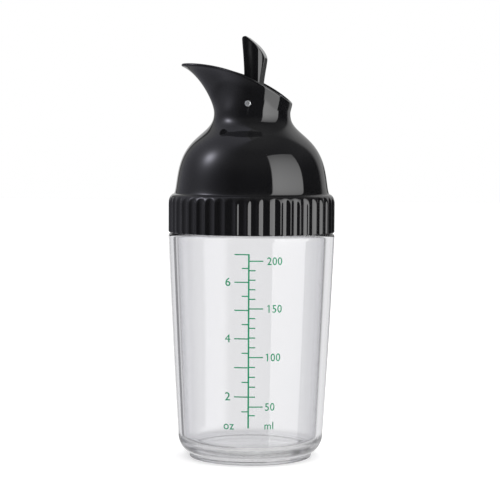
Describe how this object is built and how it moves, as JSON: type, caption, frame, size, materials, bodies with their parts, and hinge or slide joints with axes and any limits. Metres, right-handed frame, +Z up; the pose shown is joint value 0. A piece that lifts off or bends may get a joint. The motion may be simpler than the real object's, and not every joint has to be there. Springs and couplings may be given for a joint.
{
  "type": "drink shaker cup",
  "caption": "Clear tapered drink shaker cup with a black screw-on dome lid, a fluted collar, an open beak spout and a flip lever that opens the pour hole.",
  "frame": {"origin": "centre of the foot ring, on the face that the cup stands on", "axes": "+Z up along the bottle's axis, the beak of the spout towards -X, the lever's pin along Y"},
  "size_m": [0.0672, 0.0672, 0.17],
  "materials": {
    "clear_plastic": "clear, polished",
    "black_gloss": "high gloss",
    "silicone": "satin silicone",
    "pin_steel": "polished"
  },
  "bodies": {
    "bottle": {"bottle": "clear_plastic"},
    "gasket": {"lid_gasket": "silicone"},
    "lid": {"lid_shell": "black_gloss", "hinge_pin": "pin_steel"},
    "lever": {"lever": "black_gloss", "stopper": "silicone"}
  },
  "joints": [
    {"name": "lid_rise", "type": "slide", "parent": "bottle", "child": "gasket", "axis": [0, 0, 1], "range_m": [0, 0.012]},
    {"name": "lid_turn", "type": "hinge", "parent": "gasket", "child": "lid", "pos_m": [0, 0, 0.103], "axis": [0, 0, 1], "range_deg": [0, 540]},
    {"name": "lever_flip", "type": "hinge", "parent": "lid", "child": "lever", "pos_m": [0, 0, 0.143], "axis": [0, 1, 0], "range_deg": [0, 59]}
  ],
  "couplings": [
    {"joint": "lid_rise", "follows": "lid_turn", "m_per_rad": 0.0012732}
  ]
}
